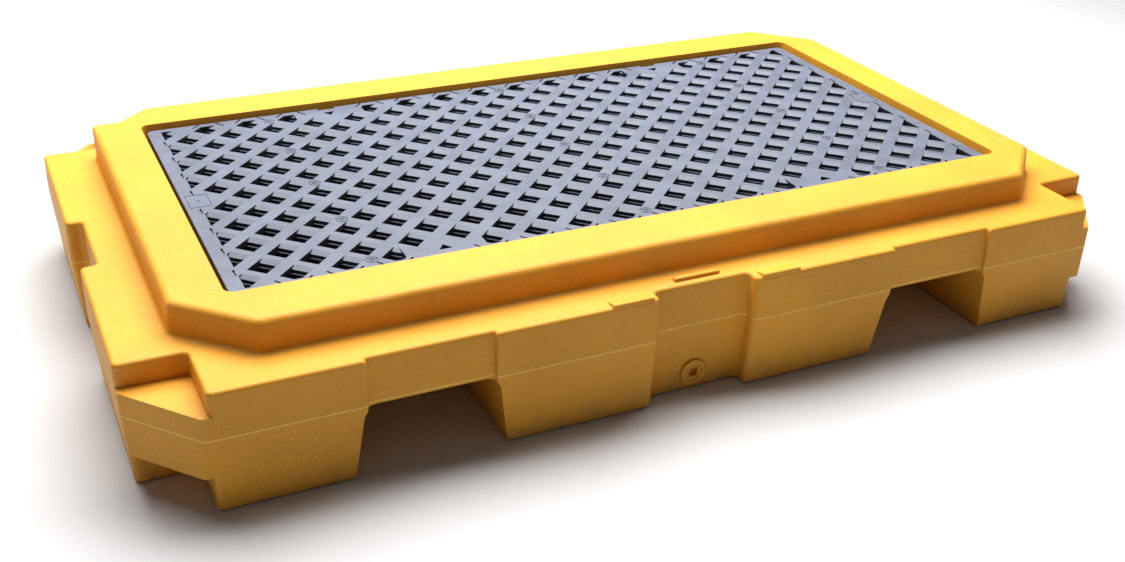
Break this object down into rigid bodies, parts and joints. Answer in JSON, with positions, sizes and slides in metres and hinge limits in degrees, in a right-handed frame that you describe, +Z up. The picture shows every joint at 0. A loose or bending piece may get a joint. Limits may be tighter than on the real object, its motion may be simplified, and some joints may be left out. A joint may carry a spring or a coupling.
{
  "type": "spill containment pallet",
  "caption": "Low rectangular plastic sump with a raised rim, fork pockets and a drain plug, carrying a lift-out deck grate for drums.",
  "frame": {"origin": "centre of the footprint, on the floor the pallet stands on", "axes": "+X along the long side, +Y across towards the rear, away from the side with the drain plug, +Z up"},
  "size_m": [1.536, 0.932, 0.222],
  "materials": {
    "sump_plastic": "moulded polyethylene, safety yellow, slight orange-peel",
    "grate_plastic": "moulded polyethylene, blue-grey, fine matt grain",
    "post_plastic": "moulded polyethylene, dark grey, matt",
    "fitting_plastic": "moulded plastic, yellow, smooth",
    "plug_plastic": "moulded plastic, yellow, smooth",
    "nut_plastic": "moulded plastic, black, smooth",
    "gasket_rubber": "moulded rubber, black, matt"
  },
  "bodies": {
    "root": {"sump_body": "sump_plastic", "tall_post_front": "post_plastic", "tall_post_middle": "post_plastic", "tall_post_rear": "post_plastic", "short_post_left_front": "post_plastic", "short_post_right_front": "post_plastic", "short_post_left_middle": "post_plastic", "short_post_right_middle": "post_plastic", "short_post_left_rear": "post_plastic", "short_post_right_rear": "post_plastic", "drain_fitting": "fitting_plastic", "fitting_gasket": "gasket_rubber", "fitting_nut": "nut_plastic"},
    "grate": {"deck_grate": "grate_plastic"},
    "plug_seal": {"plug_gasket": "gasket_rubber"},
    "plug": {"drain_plug": "plug_plastic"}
  },
  "joints": [
    {"name": "grate_lift", "type": "slide", "parent": "root", "child": "grate", "axis": [0, 0, 1], "range_m": [0, 0.25]},
    {"name": "drain_plug_travel", "type": "slide", "parent": "root", "child": "plug_seal", "axis": [0, -1, 0], "range_m": [0, 0.054]},
    {"name": "drain_plug_turn", "type": "hinge", "parent": "plug_seal", "child": "plug", "pos_m": [0, -0.434, 0.03], "axis": [0, -1, 0], "range_deg": [0, 6480]}
  ],
  "couplings": [
    {"joint": "drain_plug_travel", "follows": "drain_plug_turn", "m_per_rad": 0.00047746}
  ]
}
